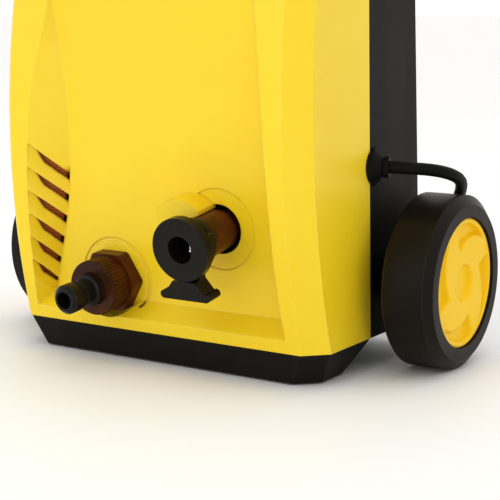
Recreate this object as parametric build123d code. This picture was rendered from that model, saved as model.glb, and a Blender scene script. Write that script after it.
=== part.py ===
from build123d import *
import math
import os

# Upright electric pressure washer, all sizes in millimetres.
# X is to the right seen from the front, Y is to the back, Z is up, and Z = 0 is the floor.
# The model is drawn with Y = 0 on the seam between the front and the rear cover, and
# is moved along Y at the end so that the origin is below the middle of the object.

# ---------------------------------------------------------------- driving dimensions
# Housing
housing_bottom = 19.4
housing_top = 372.0
wall = 2.6
seam_gap = 0.3
side_ref_z = 21.0
side_half_width = 110.8
side_draft = 0.0218
front_radius = 479.0
front_most_y = -76.6
front_most_z = 145.0
back_ref_z = 100.0
back_ref_y = 74.4
back_lean = 0.0307
rim_chamfer = 12.4
top_front_radius = 45.0
top_back_radius = 24.0

# Recessed front panel. Each station has a height, the distance from the middle to the panel's
# left edge, to the left rim on the front face and to the right rim.
panel_ref_z = 35.0
panel_ref_y = -50.0
panel_lean = 20.0 / 183.0
recess_stations = [
    (24.0, 85.5, 91.0, 90.5),
    (57.0, 78.0, 88.5, 88.2),
    (88.0, 69.5, 86.5, 86.9),
    (130.0, 63.5, 83.5, 84.6),
    (168.0, 62.8, 78.3, 81.4),
    (197.0, 65.2, 71.5, 77.8),
    (224.0, 67.5, 68.2, 73.5),
]
recess_right_draft = 0.12
ledge_panel = (-50.0, 36.5)
ledge_front = (-62.2, 27.0)

# Louvres in the left side wall of the recess
louvre_count = 6
louvre_top_outer_z = 130.0
louvre_top_inner_z = 110.8
louvre_pitch_outer = 14.4
louvre_pitch_inner = 13.5
louvre_depth = 3.7
louvre_opening_share = 0.42
louvre_lowest = 37.5

# Base plinth
plinth_top = 18.9
plinth_bottom = 1.2
plinth_front_top = -59.5
plinth_front_bottom = -54.1
plinth_half_top = 109.9
plinth_half_bottom = 102.5
plinth_chamfer = 12.4
plinth_rear_contact = -19.5
plinth_wall = 3.0
foot_length = 34.0
foot_width = 12.0
foot_recess = 1.0

# Wheels and axle
axle_y = 32.9
axle_radius = 5.0
running_fit = 0.05
wheel_radius = 51.4
wheel_inner_x = 125.5
wheel_edge_x = 151.8
wheel_outer_x = 156.0
wheel_face_radius = 45.9
wheel_rim_thickness = 8.0
hub_cap_radius = 38.3
hub_cap_seat_x = 149.0
hub_cap_face_x = 154.6
hub_pocket_depth = 2.4
hub_pocket_count = 4
hub_centre_pocket_radius = 11.0
wheel_web = 6.0
wheel_hub_radius = 11.0
axle_boss_radius = 13.0
retainer_radius = 9.0
retainer_thickness = 2.0
joint_gap = 0.3

# Handle
handle_x = 72.0
handle_y = 50.0
handle_tube_radius = 8.0
handle_tube_wall = 1.5
handle_tube_bottom = 44.0
handle_tube_top = 436.0
handle_travel = 250.0
handle_guide_wall = 3.0
handle_guide_length = 60.0
handle_collar_radius = 15.0
handle_collar_height = 5.0
handle_stop_height = 7.0
grip_bar_z = 455.0
grip_bar_radius = 13.0
grip_socket_radius = 12.5
grip_socket_bottom = 424.0
detent_width = 6.0
detent_thickness = 0.8

# Rotary switch
switch_z = 306.0
knob_radius = 24.0
knob_height = 9.0
knob_ridge_height = 9.0
knob_ridge_width = 11.0
bezel_radius = 30.0
bezel_height = 2.4
spindle_radius = 4.0
switch_box_depth = 20.0
switch_box_width = 34.0
switch_box_height = 24.0
switch_box_start = 8.0

# Outlet for the high-pressure hose, measured along its axis from the panel
outlet_x = 41.5
outlet_z = 85.1
outlet_face = 39.2
outlet_droop = 3.4
outlet_tube_radius = 12.0
outlet_flange_radius = 18.3
outlet_flange_thickness = 5.6
outlet_bore_radius = 7.9
outlet_bore_depth = 30.0
outlet_channel_radius = 4.0
outlet_hole_radius = 14.5
outlet_ring_radius = 24.0
ring_depth = 0.7
outlet_seal_z = 15.0
seal_section = 1.3
outlet_collar_radius = 14.2
clip_thickness = 5.4
clip_gap = 0.3
clip_leg_width = 3.6
clip_tab_width = 15.0
clip_foot_width = 33.0
clip_foot_drop = 11.0
clip_travel = 8.0
shroud_left = -31.5
shroud_right = -3.0
shroud_top = 20.5
shroud_shoulder = 14.5
shroud_bottom = -13.0
shroud_depth = 14.5

# Water inlet, measured along its axis from the panel
inlet_x = -36.0
inlet_z = 48.2
inlet_nut_start = 9.2
inlet_nut_face = 24.0
inlet_nut_radius = 16.7
inlet_flange_radius = 20.0
inlet_stem_radius = 12.0
inlet_hole_radius = 13.0
inlet_ring_radius = 25.5
inlet_bore_radius = 5.0
nipple_end = 50.0
nipple_neck_length = 6.2
nipple_nose_radius = 8.7
nipple_neck_radius = 6.6
nipple_collar_radius = 9.6
nut_ridge_count = 48

# Pump and motor stand on one vertical axis
drive_y = 5.0
head_bottom = 30.0
head_top = 102.0
head_left = -54.0
head_right = 60.0
head_front = -24.0
head_back = 22.0
port_seat_depth = 8.0
port_tail_radius = 10.0
block_radius = 42.0
block_top = 132.0
piston_count = 3
piston_pitch_radius = 22.0
piston_radius = 6.0
piston_bottom = 108.0
piston_top = 145.6
piston_head_radius = 9.5
piston_head_height = 3.5
spring_wire_radius = 0.8
spring_turns = 4
swash_radius = 31.0
swash_thickness = 8.0
swash_angle = 8.0
swash_z = 154.5
pump_wall = 3.5
pump_top = 168.0
bracket_plate = 6.0
bracket_radius = 45.0
stator_bottom = 188.0
stator_top = 240.0
stator_radius = 42.0
stator_bore_radius = 26.0
air_gap = 0.6
shaft_radius = 6.0
journal_radius = 5.0
bearing_radius = 13.0
bearing_height = 8.0
commutator_radius = 14.0
commutator_bottom = 244.0
commutator_top = 258.0
upper_plate_z = 264.0
fan_bottom = 273.5
fan_top = 282.0
fan_radius = 36.0
fan_blades = 9
shaft_top = 284.0
brush_width = 6.0
brush_height = 8.0
mount_radius = 8.0
mount_x = 36.0
mount_y = -12.0

# Cable gland, heading measured from +X towards +Y
gland_y = 6.5
gland_z = 119.3
gland_heading = 17.5
gland_neck_radius = 6.0
gland_base_radius = 11.2
gland_tip_radius = 5.2
gland_length = 8.4
gland_flange_radius = 10.0
gland_flange_thickness = 2.5

# Mains cord, coil and plug
cord_diameter = 7.2
coil_centre = (-12.0, 166.0)
coil_mean_radius = 46.0
coil_rows = 4
coil_columns = 4
coil_floor_gap = 1.2
tie_width = 14.0
tie_angle = 70.0
plug_radius = 18.5
plug_body_length = 38.0
plug_sleeve_length = 45.0
plug_leave_angle = -135.0
plug_lead_in = 1.0
plug_tilt = 6.0
plug_pin_radius = 2.4
plug_pin_length = 19.0
plug_pin_spacing = 19.0

# Screws
screw_radius = 2.0
screw_head_radius = 3.6
screw_head_height = 2.6
boss_radius = 5.6
screw_x = 95.0
screw_heights = (85.0, 205.0, 330.0)
screw_head_y = 10.0
screw_tip_y = -15.0
plinth_screw_x = 96.0
plinth_post_height = 22.0
plinth_screw_ys = (-36.0, -10.0)
plinth_screw_length = 22.0

# Vents in the back
vent_count = 9
vent_pitch = 9.0
vent_start_z = 215.0
vent_width = 84.0
vent_height = 4.0

nodes = {}


# ---------------------------------------------------------------- housing surfaces
def front_y(z, inset=0.0):
    radius = front_radius - inset
    centre = front_most_y + front_radius
    return centre - math.sqrt(radius**2 - (z - front_most_z) ** 2)


def half_width(z):
    return side_half_width - side_draft * (z - side_ref_z)


def back_y(z):
    return back_ref_y - back_lean * (z - back_ref_z)


def panel_y(z):
    return panel_ref_y - panel_lean * (z - panel_ref_z)


def between(low, high, share):
    return low + (high - low) * share


def recess_left_edge(column, z):
    """A smooth reading of one column of the recess stations at a height."""
    index = 1
    while index < len(recess_stations) - 3 and z > recess_stations[index + 1][0]:
        index += 1
    total = 0.0
    near = recess_stations[index - 1 : index + 3]
    for here in near:
        weight = 1.0
        for other in near:
            if other is not here:
                weight *= (z - other[0]) / (here[0] - other[0])
        total += weight * here[column]
    return total


def block(x_range, y_range, z_range):
    size = [high - low for low, high in (x_range, y_range, z_range)]
    centre = [(high + low) / 2 for low, high in (x_range, y_range, z_range)]
    return Pos(*centre) * Box(*size)


def rod(radius, start, end):
    """A round bar between two points."""
    start = Vector(*start)
    axis = Vector(*end) - start
    plane = Plane(origin=start, z_dir=axis.normalized())
    return plane * extrude(Circle(radius), axis.length)


def upright(radius, x, y, bottom, top):
    return Pos(x, y, bottom) * extrude(Circle(radius), top - bottom)


def spin(points, plane):
    """Revolve an outline of (radius, height) points about a plane's normal."""
    outline = make_face(Polyline(*points, close=True))
    return plane * revolve(Plane.XZ * outline, Axis.Z)


def mirrored(shape):
    return mirror(shape, about=Plane.YZ)


def housing_form(inset, bottom):
    """The closed outer shape of the housing, moved inwards by an inset."""
    top = housing_top - inset
    middle = (bottom + top) / 2
    foot = (front_y(bottom, inset), bottom)
    brow = (front_y(top, inset), top)
    arc = ThreePointArc(foot, (front_y(middle, inset), middle), brow)
    rest = Polyline(brow, (back_y(top) - inset, top), (back_y(bottom) - inset, bottom), foot)
    side = make_face(arc + rest)
    side = fillet(side.vertices().group_by(Axis.Y)[-1].sort_by(Axis.X)[-1], top_back_radius - inset)
    side = fillet(side.vertices().sort_by(lambda v: abs(v.X - brow[0]) + abs(v.Y - top))[0],
                  top_front_radius - inset)
    side_solid = extrude(Plane.YZ * side, amount=160, both=True)
    low = half_width(bottom) - inset
    high = half_width(top) - inset
    front = make_face(Polyline((-low, bottom), (low, bottom), (high, top), (-high, top), close=True))
    form = side_solid & extrude(Plane.XZ * front, amount=200, both=True)
    flanks = form.faces().filter_by(lambda face: abs(face.normal_at().X) > 0.9)
    rim = flanks.edges().filter_by(lambda edge: edge.center().Z > bottom + 1)
    return chamfer(rim, rim_chamfer - inset * (2 - math.sqrt(2)))


def recess_form(offset):
    """What the recess takes away from the front, grown by an offset for the inner skin."""
    sections = []
    far_y = front_most_y - 7.0
    for z, left_inner, left_outer, right_outer in recess_stations:
        depth = panel_y(z) - front_y(z)
        back = panel_y(z) + offset
        slope = (left_outer - left_inner) / max(depth, 0.7)
        left_back = left_inner + offset * (math.hypot(1, slope) - slope)
        left_far = left_back + slope * (back - far_y)
        draft = recess_right_draft
        right_back = right_outer - draft * max(depth, 0) + offset * (math.hypot(1, draft) - draft)
        right_far = right_back + draft * (back - far_y)
        corners = ((-left_far, far_y), (right_far, far_y), (right_back, back), (-left_back, back))
        sections.append(Pos(0, 0, z) * make_face(Polyline(*corners, close=True)))
    form = loft(sections)
    slope = (ledge_panel[1] - ledge_front[1]) / (ledge_panel[0] - ledge_front[0])
    drop = offset * math.hypot(1, slope)

    def ledge_z(y):
        return ledge_panel[1] + slope * (y - ledge_panel[0]) - drop

    corners = ((far_y - 10, ledge_z(far_y - 10)), (0, ledge_z(0)), (0, 400), (far_y - 10, 400))
    above = extrude(Plane.YZ * make_face(Polyline(*corners, close=True)), amount=300, both=True)
    return form & above


def panel_plane(x, z, droop=0.0):
    """A plane on the front panel, facing out, with its local y axis up. It may droop by some degrees."""
    tilt = math.atan(panel_lean) + math.radians(droop)
    normal = (0, -math.cos(tilt), -math.sin(tilt))
    return Plane(origin=(x, panel_y(z), z), x_dir=(1, 0, 0), z_dir=normal)


def louvre_point(index, share):
    """A point on a louvre's upper edge, from the rim at 0 to the panel at 1."""
    outer_z = louvre_top_outer_z - index * louvre_pitch_outer
    inner_z = louvre_top_inner_z - index * louvre_pitch_inner
    z = between(outer_z, inner_z, share)
    x = between(recess_left_edge(2, z), recess_left_edge(1, z), share)
    return Vector(-x, between(front_y(z), panel_y(z), share), z)


def louvre(index):
    """A sawtooth cut through the wall, deepest under its upper edge and flush at the next louvre."""
    run = louvre_point(index, 1) - louvre_point(index, 0)
    outward = Vector(run.Y, -run.X, 0).normalized()
    sections = []
    for share in (0.02, louvre_opening_share, 0.6, 0.8, 1.0):
        depth = louvre_depth * min(1.0, 0.1 + share / louvre_opening_share)
        edge = louvre_point(index, share)
        foot = louvre_point(index + 1, share)
        corners = (edge + outward * 2, edge - outward * depth, foot + outward * 0.25)
        sections.append(make_face(Polyline(*corners, close=True)))
    return loft(sections, ruled=True) & block((-200, 0), (-200, 0), (louvre_lowest, 500))


housing_skin = housing_form(0, housing_bottom)
housing_inside = housing_form(wall, housing_bottom - 5)
outlet_plane = panel_plane(outlet_x, outlet_z, outlet_droop)
inlet_plane = panel_plane(inlet_x, inlet_z)
switch_tilt = math.asin((switch_z - front_most_z) / front_radius)
switch_normal = (0, -math.cos(switch_tilt), math.sin(switch_tilt))
switch_plane = Plane(origin=(0, front_y(switch_z), switch_z), x_dir=(1, 0, 0), z_dir=switch_normal)
axle_z = wheel_radius
outlet_tail = -(head_front - panel_y(outlet_z) + port_seat_depth)
inlet_tail = -(head_front - panel_y(inlet_z) + port_seat_depth)


def along(plane, radius, low, high):
    """A cylinder on a plane's normal between two distances."""
    return plane * (Pos(0, 0, low) * extrude(Circle(radius), high - low))


# ---------------------------------------------------------------- covers
def make_front_cover():
    front_space = block((-200, 200), (-200, -seam_gap / 2), (0, 500))
    skin = housing_skin - recess_form(0)
    inside = housing_inside - recess_form(wall)
    cover = (skin - inside) & front_space
    for index in range(louvre_count):
        cover -= louvre(index)
    cover -= along(panel_plane(outlet_x, outlet_z), outlet_ring_radius, -ring_depth, 5)
    cover -= along(inlet_plane, inlet_ring_radius, -ring_depth, 5)
    arch = ThreePointArc(
        (shroud_left, shroud_shoulder),
        ((shroud_left + shroud_right) / 2, shroud_top),
        (shroud_right, shroud_shoulder),
    )
    sides = Polyline(
        (shroud_right, shroud_shoulder),
        (shroud_right, shroud_bottom),
        (shroud_left, shroud_bottom),
        (shroud_left, shroud_shoulder),
    )
    shroud = extrude(make_face(arch + sides), shroud_depth + wall / 2)
    cover += outlet_plane * (Pos(0, 0, -wall / 2) * shroud)
    cover -= along(outlet_plane, outlet_tube_radius + 0.4, -10, 30)
    hole = Circle(outlet_hole_radius) & Pos(shroud_right + 20, 0) * Rectangle(40, 40)
    cover -= outlet_plane * (Pos(0, 0, -10) * extrude(hole, 20))
    cup = along(inlet_plane, inlet_flange_radius + 1 + wall, -wall, 9)
    cover += cup & skin
    cover -= along(inlet_plane, inlet_flange_radius + 1, 0, 30)
    cover -= along(inlet_plane, inlet_hole_radius, -10, 10)
    cover -= along(switch_plane, bezel_radius - 4, -10, 10)
    for side in (-1, 1):
        for z in screw_heights:
            post_end = screw_tip_y - 3
            post = rod(boss_radius, (side * screw_x, -seam_gap / 2, z), (side * screw_x, post_end, z))
            web = block((0, half_width(z) - wall / 2 - screw_x), (post_end, -seam_gap / 2), (-1.5, 1.5))
            web = web if side > 0 else mirrored(web)
            cover += post
            cover += Pos(side * screw_x, 0, z) * web
            bore = rod(screw_radius - 0.02, (side * screw_x, 5, z), (side * screw_x, screw_tip_y - 0.5, z))
            cover -= bore
        for y in plinth_screw_ys:
            post_top = housing_bottom + plinth_post_height
            post = upright(boss_radius, side * plinth_screw_x, y, housing_bottom, post_top)
            web_x = sorted((side * plinth_screw_x, side * (half_width(post_top) - wall / 2)))
            web = block(web_x, (y - 1.5, y + 1.5), (housing_bottom, post_top))
            cover += (post + web) & housing_skin
            pilot_top = post_top - 4
            cover -= upright(screw_radius - 0.02, side * plinth_screw_x, y, housing_bottom - 5, pilot_top)
    cover -= gland_neck(0.2)
    return cover


def gland_neck(clearance):
    """The part of the cable gland that stands in the slot in the right wall."""
    x_range = (half_width(gland_z) - wall - 3, half_width(gland_z) + 3)
    radius = gland_neck_radius + clearance
    neck = rod(radius, (x_range[0], gland_y, gland_z), (x_range[1], gland_y, gland_z))
    y_range = (seam_gap / 2, gland_y)
    return neck + block(x_range, y_range, (gland_z - radius, gland_z + radius))


def make_rear_cover():
    rear_space = block((-200, 200), (seam_gap / 2, 200), (0, 500))
    inside = housing_inside & block((-200, 200), (-200, 200), (housing_bottom + wall, 500))
    cover = (housing_skin - inside) & rear_space
    for side in (-1, 1):
        inner_end = half_width(axle_z) - 16
        outer_end = wheel_inner_x - joint_gap * 3
        cover += rod(axle_boss_radius, (side * inner_end, axle_y, axle_z), (side * outer_end, axle_y, axle_z))
        for z in screw_heights:
            end = back_y(z) - wall / 2
            cover += rod(boss_radius, (side * screw_x, seam_gap / 2, z), (side * screw_x, end, z))
            cover -= rod(screw_head_radius + 0.5, (side * screw_x, screw_head_y, z), (side * screw_x, 90, z))
            cover -= rod(screw_radius + 0.2, (side * screw_x, -1, z), (side * screw_x, screw_head_y + 1, z))
        guide_outer = handle_tube_radius + running_fit + handle_guide_wall
        saddle_z = (housing_top - handle_guide_length + 5, housing_top - wall / 2)
        saddle_y = (handle_y + 4, back_y(saddle_z[0]) - wall / 2)
        saddle_x = (side * handle_x - guide_outer, side * handle_x + guide_outer)
        cover += block(saddle_x, saddle_y, saddle_z) & housing_skin
        cover -= upright(guide_outer + 0.1, side * handle_x, handle_y, 200, 400)
    cover -= rod(axle_radius + 0.02, (-200, axle_y, axle_z), (200, axle_y, axle_z))
    cover -= gland_neck(0.2)
    for index in range(vent_count):
        z = vent_start_z + index * vent_pitch
        slot = extrude(Plane.XZ * SlotOverall(vent_width, vent_height), amount=30, both=True)
        cover -= Pos(0, back_y(z), z) * slot
    rib_y = (drive_y + stator_radius + 4, back_y(200) - wall / 2)
    cover += block((-16, 16), rib_y, (stator_bottom + 6, stator_bottom + 12))
    tray = block((half_width(150) - wall / 2 - 9, half_width(150) - wall / 2), (14, 40), (140, 143))
    cover += tray
    shelf_x = (-half_width(222) + wall / 2, -half_width(222) + wall / 2 + 26)
    cover += block(shelf_x, (18, 38), (219, 222))
    return cover


def plinth_outline(half, front):
    corner = plinth_chamfer
    points = (
        (-half + corner, front),
        (half - corner, front),
        (half, front + corner),
        (half, 0),
        (-half, 0),
        (-half, front + corner),
    )
    return make_face(Polyline(*points, close=True))


def plinth_form(inset, bottom):
    lower = Pos(0, 0, bottom) * plinth_outline(plinth_half_bottom - inset, plinth_front_bottom + inset)
    upper = Pos(0, 0, plinth_top) * plinth_outline(plinth_half_top - inset, plinth_front_top + inset)
    return loft([lower, upper], ruled=True)


def make_plinth():
    body = plinth_form(0, plinth_bottom)
    rear = plinth_rear_contact
    lip_z = plinth_top - 1.2
    low_z = plinth_bottom - 5
    cut = ((rear, low_z), (rear, plinth_bottom), (-seam_gap, lip_z), (10, lip_z), (10, low_z))
    body -= extrude(Plane.YZ * make_face(Polyline(*cut, close=True)), amount=200, both=True)
    body &= block((-200, 200), (-200, -seam_gap), (0, plinth_top))
    hollow = plinth_form(plinth_wall, plinth_bottom + plinth_wall)
    hollow &= block((-200, 200), (-200, rear - 4), (0, 100))
    middle = block((-plinth_screw_x + 12, plinth_screw_x - 12), (-200, 200), (0, 100))
    body -= hollow & middle
    for side in (-1, 1):
        for y in plinth_screw_ys:
            body -= upright(screw_radius + 0.2, side * plinth_screw_x, y, 0, 40)
            body -= upright(screw_head_radius + 0.4, side * plinth_screw_x, y, -5, screw_seat_z(y))
        x = side * (plinth_half_bottom - foot_length / 2 - 16)
        y = plinth_front_bottom + foot_width / 2 + 7
        body -= Pos(x, y, plinth_bottom) * Box(foot_length, foot_width, 2 * foot_recess)
    return body


def screw_seat_z(y):
    """Height of the seat under a plinth screw's head, clear of the slanted underside."""
    slant = (plinth_top - plinth_bottom) / (0 - plinth_rear_contact)
    underside = plinth_bottom + max(0, slant * (y - plinth_rear_contact))
    return underside + screw_head_height + 1


def make_feet():
    feet = []
    for side in (-1, 1):
        x = side * (plinth_half_bottom - foot_length / 2 - 16)
        y = plinth_front_bottom + foot_width / 2 + 7
        height = plinth_bottom + foot_recess
        feet.append(Pos(x, y, height / 2) * Box(foot_length - 0.2, foot_width - 0.2, height))
    return feet


def make_screw(head, tip):
    """A pan-head screw from the underside of its head to its tip."""
    head = Vector(*head)
    tip = Vector(*tip)
    back = (head - tip).normalized() * screw_head_height
    screw = rod(screw_radius, head, tip) + rod(screw_head_radius, head, head + back)
    slot_plane = Plane(origin=head + back, z_dir=(head - tip).normalized())
    for angle in (0, 90):
        screw -= slot_plane * (Rot(0, 0, angle) * Box(4.2, 0.9, 2.4))
    return screw


def make_cover_screws():
    screws = []
    for side in (-1, 1):
        for z in screw_heights:
            head = (side * screw_x, screw_head_y, z)
            screws.append(make_screw(head, (side * screw_x, screw_tip_y, z)))
    return screws


def make_plinth_screws():
    screws = []
    for side in (-1, 1):
        for y in plinth_screw_ys:
            seat = screw_seat_z(y)
            x = side * plinth_screw_x
            screws.append(make_screw((x, y, seat), (x, y, seat + plinth_screw_length)))
    return screws


nodes["front_cover"] = make_front_cover()
nodes["rear_cover"] = make_rear_cover()
nodes["base_plinth"] = make_plinth()
nodes["rubber_feet"] = make_feet()
nodes["housing_screws"] = make_cover_screws() + make_plinth_screws()


# ---------------------------------------------------------------- wheels
def wheel_plane(side):
    return Plane(origin=(0, axle_y, axle_z), x_dir=(0, 1, 0), z_dir=(side, 0, 0))


def make_wheel(side):
    bore = axle_radius + running_fit
    rim_inner = wheel_radius - wheel_rim_thickness
    web_x = hub_cap_seat_x - wheel_web
    cap_seat = hub_cap_radius + 0.2
    points = (
        (bore, wheel_inner_x + 1),
        (wheel_hub_radius, wheel_inner_x + 1),
        (wheel_hub_radius, web_x),
        (rim_inner, web_x),
        (rim_inner, wheel_inner_x),
        (wheel_radius - 2, wheel_inner_x),
        (wheel_radius, wheel_inner_x + 2),
        (wheel_radius, wheel_edge_x),
        (wheel_face_radius, wheel_outer_x),
        (cap_seat, wheel_outer_x),
        (cap_seat, hub_cap_seat_x),
        (retainer_radius + 1, hub_cap_seat_x),
        (retainer_radius + 1, web_x + 3),
        (bore, web_x + 3),
    )
    return spin(points, wheel_plane(side))


def swirl_pocket():
    """A comma-shaped pocket between a spiral edge and the rim of the hub cap."""
    outer = hub_cap_radius - 2.8
    start_angle = 112.0
    end_angle = 36.0
    spiral = []
    for step in range(7):
        share = step / 6
        radius = between(20.0, outer, share**1.3)
        angle = math.radians(between(start_angle, end_angle, share))
        spiral.append((radius * math.cos(angle), radius * math.sin(angle)))
    top_angle = math.radians(start_angle - 6)
    rim_start = (outer * math.cos(top_angle), outer * math.sin(top_angle))
    middle_angle = math.radians((start_angle - 6 + end_angle) / 2)
    rim_middle = (outer * math.cos(middle_angle), outer * math.sin(middle_angle))
    edge = Spline(*spiral) + ThreePointArc(spiral[-1], rim_middle, rim_start)
    return make_face(edge + Line(rim_start, spiral[0]))


def make_hub_cap(side):
    plane = wheel_plane(side)
    cap = along(plane, hub_cap_radius, hub_cap_seat_x, hub_cap_face_x)
    floor = hub_cap_face_x - hub_pocket_depth
    cap -= along(plane, hub_centre_pocket_radius, floor, hub_cap_face_x + 1)
    for index in range(hub_pocket_count):
        pocket = Rot(0, 0, index * 360 / hub_pocket_count) * swirl_pocket()
        cap -= plane * (Pos(0, 0, floor) * extrude(pocket, 6))
    return cap


def axle_end():
    return hub_cap_seat_x - 0.4


def make_axle():
    axle = rod(axle_radius, (-axle_end(), axle_y, axle_z), (axle_end(), axle_y, axle_z))
    return chamfer(axle.edges(), 0.6)


def make_retainers():
    low = hub_cap_seat_x - wheel_web + 3 + joint_gap
    return [
        along(wheel_plane(side), retainer_radius, low, low + retainer_thickness)
        - along(wheel_plane(side), axle_radius, low - 1, low + retainer_thickness + 1)
        for side in (-1, 1)
    ]


for name, side in (("left", -1), ("right", 1)):
    nodes["wheel_" + name] = make_wheel(side)
    nodes["hub_cap_" + name] = make_hub_cap(side)
nodes["axle"] = make_axle()
nodes["axle_retainers"] = make_retainers()


# ---------------------------------------------------------------- handle
def guide_bottom():
    return housing_top - handle_guide_length


def make_handle_tube(side):
    x = side * handle_x
    tube = upright(handle_tube_radius, x, handle_y, handle_tube_bottom, handle_tube_top)
    return tube - upright(handle_tube_radius - handle_tube_wall, x, handle_y, 0, 500)


def make_handle_stops():
    """End plugs that catch below the guides when the handle is pulled out."""
    stops = []
    for side in (-1, 1):
        x = side * handle_x
        bottom = handle_tube_bottom - 3
        plug = upright(handle_tube_radius + 2.4, x, handle_y, bottom, handle_tube_bottom)
        inner = handle_tube_radius - handle_tube_wall - 0.02
        plug += upright(inner, x, handle_y, handle_tube_bottom, handle_tube_bottom + handle_stop_height)
        stops.append(plug)
    return stops


def make_handle_guides():
    guides = []
    bore = handle_tube_radius + running_fit
    outer = bore + handle_guide_wall
    for side in (-1, 1):
        x = side * handle_x
        collar_bottom = housing_top + 0.05
        sleeve = upright(outer, x, handle_y, guide_bottom(), collar_bottom)
        collar_top = collar_bottom + handle_collar_height
        collar = upright(handle_collar_radius, x, handle_y, collar_bottom, collar_top)
        collar = chamfer(collar.edges().group_by(Axis.Z)[-1], 1.5)
        guide = sleeve + collar - upright(bore, x, handle_y, 0, 500)
        window = block((-detent_width / 2 - 0.4, detent_width / 2 + 0.4), (-outer - 1, 0), (18, 44))
        guides.append(guide - Pos(x, handle_y, guide_bottom()) * window)
    return guides


def make_detents():
    """Leaf springs in the guides' windows, which grip the tubes."""
    springs = []
    for side in (-1, 1):
        near = -handle_tube_radius - joint_gap
        leaf = Polyline(
            (near - 2.4, 18.7),
            (near - 2.4, 22),
            (near - detent_thickness / 2, 31),
            (near - 2.4, 40),
            (near - 2.4, 43.3),
        )
        strip = make_face(offset(leaf, detent_thickness / 2))
        solid = extrude(Plane.YZ * strip, amount=detent_width / 2, both=True)
        springs.append(Pos(side * handle_x, handle_y, guide_bottom()) * solid)
    return springs


def make_grip():
    bar = rod(grip_bar_radius, (-handle_x, handle_y, grip_bar_z), (handle_x, handle_y, grip_bar_z))
    for side in (-1, 1):
        x = side * handle_x
        bar += Pos(x, handle_y, grip_bar_z) * Sphere(grip_bar_radius)
        bar += upright(grip_socket_radius, x, handle_y, grip_socket_bottom, grip_bar_z)
    for side in (-1, 1):
        bar -= upright(handle_tube_radius, side * handle_x, handle_y, 0, handle_tube_top)
    return bar


nodes["handle_tube_left"] = make_handle_tube(-1)
nodes["handle_tube_right"] = make_handle_tube(1)
nodes["handle_stops"] = make_handle_stops()
nodes["handle_guides"] = make_handle_guides()
nodes["handle_detents"] = make_detents()
nodes["handle_grip"] = make_grip()


# ---------------------------------------------------------------- switch
def make_bezel():
    seat_radius = bezel_radius - 4.1
    bore = knob_radius + 0.4
    stem_bore = spindle_radius + running_fit
    points = (
        (stem_bore, -8),
        (seat_radius, -8),
        (seat_radius, -2),
        (bezel_radius, -2),
        (bezel_radius, bezel_height - 1.2),
        (bezel_radius - 1.2, bezel_height),
        (bore, bezel_height),
        (bore, -6),
        (stem_bore, -6),
    )
    ring = spin(points, switch_plane)
    return ring - (housing_skin - along(switch_plane, seat_radius, -20, 20))


def make_knob():
    knob = along(switch_plane, knob_radius, joint_gap - 6, knob_height)
    ridge = Box(knob_ridge_width, 2 * knob_radius - 5, knob_ridge_height)
    knob += switch_plane * (Pos(0, 0, knob_height + knob_ridge_height / 2 - 0.5) * ridge)
    pointer = Pos(0, knob_radius - 7, knob_height + knob_ridge_height) * Box(2, 8, 2)
    knob -= switch_plane * pointer
    return knob - along(switch_plane, spindle_radius, -20, 4)


def make_spindle():
    return along(switch_plane, spindle_radius, -switch_box_start - 8, 4)


def make_switch_box():
    depth = Pos(0, 0, -switch_box_start - 1.2 - switch_box_depth / 2)
    box = switch_plane * (depth * Box(switch_box_width, switch_box_height, switch_box_depth))
    box -= along(switch_plane, spindle_radius + running_fit, -switch_box_start - 9, 5)
    return box


nodes["switch_bezel"] = make_bezel()
nodes["switch_knob"] = make_knob()
nodes["switch_spindle"] = make_spindle()
nodes["switch_box"] = make_switch_box()


# ---------------------------------------------------------------- outlet and inlet
def flange_back():
    return outlet_face - outlet_flange_thickness


def make_outlet_socket():
    tube = along(outlet_plane, outlet_tube_radius, 0, flange_back())
    tube += along(outlet_plane, outlet_flange_radius, flange_back(), outlet_face)
    tube += along(outlet_plane, port_tail_radius, outlet_tail, 0)
    collar_end = flange_back() - clip_thickness - 2 * clip_gap
    tube += along(outlet_plane, outlet_collar_radius, collar_end - 4, collar_end)
    tube -= along(outlet_plane, outlet_bore_radius, outlet_face - outlet_bore_depth, outlet_face + 1)
    tube -= along(outlet_plane, outlet_channel_radius, outlet_tail - 1, outlet_face)
    groove_radius = outlet_bore_radius + 2 * seal_section + 0.1
    groove = (outlet_seal_z - seal_section - 0.1, outlet_seal_z + seal_section + 0.1)
    return tube - along(outlet_plane, groove_radius, *groove)


def make_outlet_clip():
    """A fork that holds the hose, with a fishtail tab below the flange."""
    inner = outlet_tube_radius + clip_gap
    outer = inner + clip_leg_width
    plate_back = flange_back() - clip_thickness - clip_gap
    plate = Circle(outer) & Pos(0, -outer / 2) * Rectangle(2 * outer, outer)
    legs = Rectangle(2 * outer, 8)
    neck = Pos(0, -outer) * Rectangle(clip_tab_width, 8)
    fork = plate + Pos(0, 4) * legs + neck
    fork -= Circle(inner)
    fork -= Pos(0, 10) * Rectangle(2 * inner, 20)
    clip = Pos(0, 0, plate_back) * extrude(fork, clip_thickness)
    top = -outlet_flange_radius - clip_gap
    bottom = -outlet_flange_radius - clip_foot_drop
    half_tab = clip_tab_width / 2
    half_foot = clip_foot_width / 2 - 2.4
    corners = (
        (-half_tab, top),
        (half_tab, top),
        (half_foot, bottom + 2.4),
        (half_foot, bottom),
        (-half_foot, bottom),
        (-half_foot, bottom + 2.4),
    )
    tail = make_face(Polyline(*corners, close=True))
    for side in (-1, 1):
        tail += Pos(side * half_foot, bottom + 2.4) * Circle(2.4)
    clip += Pos(0, 0, plate_back) * extrude(tail, outlet_face - plate_back)
    return outlet_plane * clip


def ring_seal(plane, radius, section, height):
    seal = revolve(Plane.XZ * (Pos(radius, 0) * Circle(section)), Axis.Z)
    return plane * (Pos(0, 0, height) * seal)


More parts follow.
